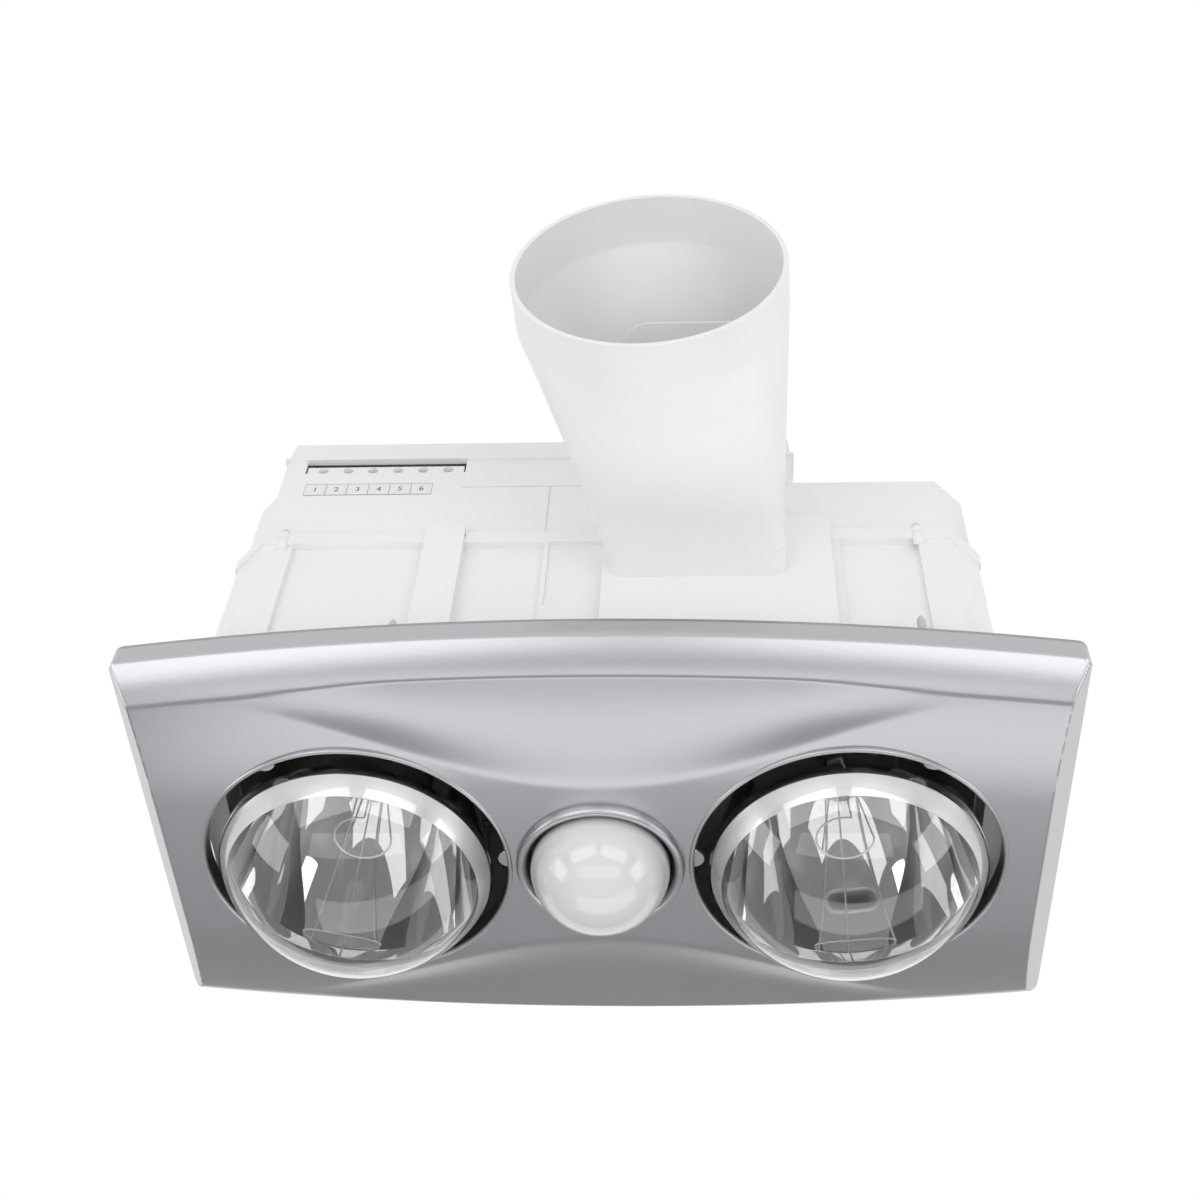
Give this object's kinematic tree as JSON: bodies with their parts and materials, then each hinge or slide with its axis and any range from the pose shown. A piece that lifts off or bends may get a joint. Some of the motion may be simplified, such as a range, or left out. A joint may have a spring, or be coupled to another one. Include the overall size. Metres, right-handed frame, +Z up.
{
  "type": "bathroom heater fan light",
  "caption": "Ceiling heater, fan and light: bowed silver fascia round reflector heat lamps and an opal lamp, white casing above and a square-to-round duct adapter.",
  "frame": {"origin": "middle of the fascia on the ceiling's underside", "axes": "+Z up into the ceiling, +X along the fascia's long side, the duct leaves towards -Y"},
  "size_m": [0.415, 0.35, 0.2534],
  "materials": {
    "silver_paint": "smooth silver paint on a moulding",
    "white_plastic": "smooth white moulding",
    "grey_plastic": "plain grey moulding",
    "clear_glass": "clear blown glass, silvered behind",
    "opal_glass": "opal white glass",
    "cap_metal": "pressed cap",
    "filament_wire": "drawn wire",
    "steel": "zinc-plated steel",
    "shield_metal": "bare sheet and castings",
    "core_steel": "stacked laminations",
    "copper": "enamelled copper wire",
    "brass": "plain brass and bronze",
    "white_ceramic": "fired white ceramic"
  },
  "bodies": {
    "housing": {"lower_casing": "white_plastic", "upper_casing": "white_plastic", "casing_screws": "steel", "fixing_screws": "steel", "fascia_clips": "steel", "heat_shield_left": "shield_metal", "heat_shield_right": "shield_metal", "light_bracket": "steel", "lampholder_light": "white_ceramic", "screw_shell_light": "brass", "holder_contacts": "brass", "light_bulb_glass": "opal_glass", "light_bulb_cap": "cap_metal", "scroll_case": "grey_plastic", "scroll_screws": "steel", "inlet_plate": "grey_plastic", "motor_core": "core_steel", "motor_coils": "copper", "motor_bell_lower": "shield_metal", "motor_bell_upper": "shield_metal", "motor_bearings": "brass", "terminal_block": "white_plastic", "terminal_screws": "steel", "outlet_frame": "white_plastic", "duct_adapter": "white_plastic", "flap_pin": "steel", "lamp_bracket_left": "steel", "lampholder_left": "white_ceramic", "screw_shell_left": "brass", "heat_lamp_glass_left": "clear_glass", "heat_lamp_cap_left": "cap_metal", "heat_lamp_stem_left": "clear_glass", "heat_lamp_filament_left": "filament_wire", "lamp_bracket_right": "steel", "lampholder_right": "white_ceramic", "screw_shell_right": "brass", "heat_lamp_glass_right": "clear_glass", "heat_lamp_cap_right": "cap_metal", "heat_lamp_stem_right": "clear_glass", "heat_lamp_filament_right": "filament_wire"},
    "fan": {"impeller": "grey_plastic", "impeller_nut": "steel", "motor_shaft": "steel", "motor_rotor": "shield_metal"},
    "flap": {"damper_flap": "white_plastic"},
    "fascia_panel": {"fascia": "silver_paint"},
    "cover": {"wiring_cover": "white_plastic", "cover_screws": "steel"}
  },
  "joints": [
    {"name": "impeller_spin", "type": "hinge", "parent": "housing", "child": "fan", "pos_m": [0, 0.01, 0.1], "axis": [0, 0, 1], "continuous": true},
    {"name": "flap_swing", "type": "hinge", "parent": "housing", "child": "flap", "pos_m": [0.0445, -0.12, 0.1207], "axis": [1, 0, 0], "range_deg": [0, 98.5]},
    {"name": "fascia_pull", "type": "slide", "parent": "housing", "child": "fascia_panel", "axis": [0, 0, -1], "range_m": [0, 0.085]},
    {"name": "cover_lift", "type": "slide", "parent": "housing", "child": "cover", "axis": [0, 0, 1], "range_m": [0, 0.06]}
  ]
}
